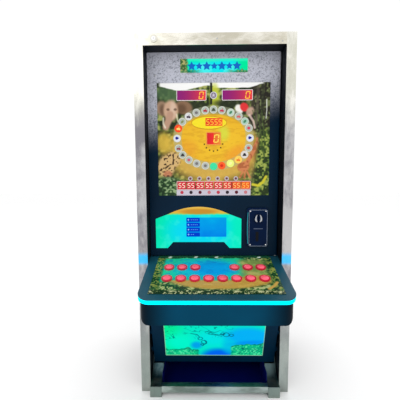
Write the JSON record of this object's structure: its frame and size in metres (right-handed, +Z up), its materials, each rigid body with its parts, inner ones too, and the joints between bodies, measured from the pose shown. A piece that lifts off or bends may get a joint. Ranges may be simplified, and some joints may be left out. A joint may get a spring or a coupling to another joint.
{
  "type": "coin-operated lamp-ring game machine",
  "caption": "Upright coin-operated game machine: stainless front frame, hinged glass game door, lit sloping button deck with push buttons, lit lower panel and foot rest.",
  "frame": {"origin": "middle of the floor under the machine's overall box", "axes": "+Z up, +X to the player's right, +Y away from the player"},
  "size_m": [0.5, 0.5445, 1.171],
  "materials": {
    "stainless": "polished stainless sheet",
    "cabinet_paint": "black textured powder coat",
    "door_paint": "black textured powder coat with a metallic fleck",
    "deck_paint": "dark blue-grey textured powder coat",
    "panel_paint": "dark blue powder coat",
    "printed_glass": "printed toughened glass, lit from behind",
    "printed_overlay": "printed gloss acrylic",
    "lit_lens": "printed acrylic lens, lit from behind",
    "light_strip": "lit acrylic diffuser",
    "white_plastic": "white moulded tray",
    "red_button": "translucent red",
    "red_bezel": "red moulding",
    "black_plastic": "black moulding",
    "circuit_board": "solder-masked board",
    "screen": "lit screen",
    "coin_metal": "gloss black die casting",
    "chrome": "bright plate",
    "zinc_sheet": "zinc-plated sheet",
    "rubber": "black rubber"
  },
  "bodies": {
    "cabinet": {"left_post": "stainless", "right_post": "stainless", "top_bar": "stainless", "left_side_panel": "cabinet_paint", "right_side_panel": "cabinet_paint", "roof_panel": "cabinet_paint", "header_panel": "cabinet_paint", "door_sill": "cabinet_paint", "floor_panel": "cabinet_paint", "rear_frame": "cabinet_paint", "raked_panel": "panel_paint", "lower_window": "lit_lens", "lower_light_box": "white_plastic", "toe_bay": "panel_paint", "foot_rail": "stainless", "leg_brackets": "stainless", "rear_feet": "rubber", "deck_box": "panel_paint", "deck_plate": "deck_paint", "deck_overlay": "printed_overlay", "deck_led_strip": "light_strip", "button_housings": "red_bezel", "button_switches": "black_plastic", "speaker": "black_plastic", "door_pins": "chrome", "top_lock_body": "chrome", "cash_box": "zinc_sheet", "coin_chute": "zinc_sheet", "main_board": "circuit_board", "power_supply": "zinc_sheet", "mains_inlet": "black_plastic"},
    "game_door": {"upper_door": "door_paint", "marquee_lens": "lit_lens", "game_glass": "printed_glass", "game_board": "circuit_board", "arch_window": "lit_lens", "lcd_module": "screen", "coin_plate": "coin_metal", "coin_mech": "black_plastic"},
    "coin_return_flap": {"coin_flap": "coin_metal"},
    "top_lock_plug": {"top_lock_cam": "chrome"},
    "service_door": {"rear_door": "cabinet_paint", "rear_lock_body": "chrome", "fan_housing": "black_plastic"},
    "rear_lock_plug": {"rear_lock_cam": "chrome"},
    "fan_blades": {"fan_rotor": "black_plastic"},
    "plunger_01": {"button_01": "red_button"},
    "plunger_02": {"button_02": "red_button"},
    "plunger_03": {"button_03": "red_button"},
    "plunger_04": {"button_04": "red_button"},
    "plunger_05": {"button_05": "red_button"},
    "plunger_06": {"button_06": "red_button"},
    "plunger_07": {"button_07": "red_button"},
    "plunger_08": {"button_08": "red_button"},
    "plunger_09": {"button_09": "red_button"},
    "plunger_10": {"button_10": "red_button"},
    "plunger_11": {"button_11": "red_button"},
    "plunger_12": {"button_12": "red_button"},
    "plunger_13": {"button_13": "red_button"},
    "plunger_14": {"button_14": "red_button"}
  },
  "joints": [
    {"name": "game_door_hinge", "type": "hinge", "parent": "cabinet", "child": "game_door", "pos_m": [0.211, -0.02925, 0.8], "axis": [0, 0, 1], "range_deg": [0, 70]},
    {"name": "service_door_hinge", "type": "hinge", "parent": "cabinet", "child": "service_door", "pos_m": [0.1765, 0.26275, 0.64], "axis": [0, 0, -1], "range_deg": [0, 95]},
    {"name": "top_lock_turn", "type": "hinge", "parent": "cabinet", "child": "top_lock_plug", "pos_m": [-0.1855, -0.07275, 1.1555], "axis": [0, 1, 0], "range_deg": [0, 90]},
    {"name": "rear_lock_turn", "type": "hinge", "parent": "service_door", "child": "rear_lock_plug", "pos_m": [-0.165, 0.25725, 0.64], "axis": [0, -1, 0], "range_deg": [0, 90]},
    {"name": "coin_flap_hinge", "type": "hinge", "parent": "game_door", "child": "coin_return_flap", "pos_m": [0.1446, -0.04125, 0.5447], "axis": [1, 0, 0], "range_deg": [0, 60]},
    {"name": "fan_spin", "type": "hinge", "parent": "service_door", "child": "fan_blades", "pos_m": [0, 0.25525, 0.9], "axis": [0, 1, 0], "continuous": true},
    {"name": "button_01_press", "type": "slide", "parent": "cabinet", "child": "plunger_01", "axis": [0, 0.1994, -0.9799], "range_m": [0, 0.003], "stiffness_N_per_m": 250, "springref_m": -0.0012},
    {"name": "button_02_press", "type": "slide", "parent": "cabinet", "child": "plunger_02", "axis": [0, 0.1994, -0.9799], "range_m": [0, 0.003], "stiffness_N_per_m": 250, "springref_m": -0.0012},
    {"name": "button_03_press", "type": "slide", "parent": "cabinet", "child": "plunger_03", "axis": [0, 0.1994, -0.9799], "range_m": [0, 0.003], "stiffness_N_per_m": 250, "springref_m": -0.0012},
    {"name": "button_04_press", "type": "slide", "parent": "cabinet", "child": "plunger_04", "axis": [0, 0.1994, -0.9799], "range_m": [0, 0.003], "stiffness_N_per_m": 250, "springref_m": -0.0012},
    {"name": "button_05_press", "type": "slide", "parent": "cabinet", "child": "plunger_05", "axis": [0, 0.1994, -0.9799], "range_m": [0, 0.003], "stiffness_N_per_m": 250, "springref_m": -0.0012},
    {"name": "button_06_press", "type": "slide", "parent": "cabinet", "child": "plunger_06", "axis": [0, 0.1994, -0.9799], "range_m": [0, 0.003], "stiffness_N_per_m": 250, "springref_m": -0.0012},
    {"name": "button_07_press", "type": "slide", "parent": "cabinet", "child": "plunger_07", "axis": [0, 0.1994, -0.9799], "range_m": [0, 0.003], "stiffness_N_per_m": 250, "springref_m": -0.0012},
    {"name": "button_08_press", "type": "slide", "parent": "cabinet", "child": "plunger_08", "axis": [0, 0.1994, -0.9799], "range_m": [0, 0.003], "stiffness_N_per_m": 250, "springref_m": -0.0012},
    {"name": "button_09_press", "type": "slide", "parent": "cabinet", "child": "plunger_09", "axis": [0, 0.1994, -0.9799], "range_m": [0, 0.003], "stiffness_N_per_m": 250, "springref_m": -0.0012},
    {"name": "button_10_press", "type": "slide", "parent": "cabinet", "child": "plunger_10", "axis": [0, 0.1994, -0.9799], "range_m": [0, 0.003], "stiffness_N_per_m": 250, "springref_m": -0.0012},
    {"name": "button_11_press", "type": "slide", "parent": "cabinet", "child": "plunger_11", "axis": [0, 0.1994, -0.9799], "range_m": [0, 0.003], "stiffness_N_per_m": 250, "springref_m": -0.0012},
    {"name": "button_12_press", "type": "slide", "parent": "cabinet", "child": "plunger_12", "axis": [0, 0.1994, -0.9799], "range_m": [0, 0.003], "stiffness_N_per_m": 250, "springref_m": -0.0012},
    {"name": "button_13_press", "type": "slide", "parent": "cabinet", "child": "plunger_13", "axis": [0, 0.1994, -0.9799], "range_m": [0, 0.003], "stiffness_N_per_m": 250, "springref_m": -0.0012},
    {"name": "button_14_press", "type": "slide", "parent": "cabinet", "child": "plunger_14", "axis": [0, 0.1994, -0.9799], "range_m": [0, 0.003], "stiffness_N_per_m": 250, "springref_m": -0.0012}
  ]
}
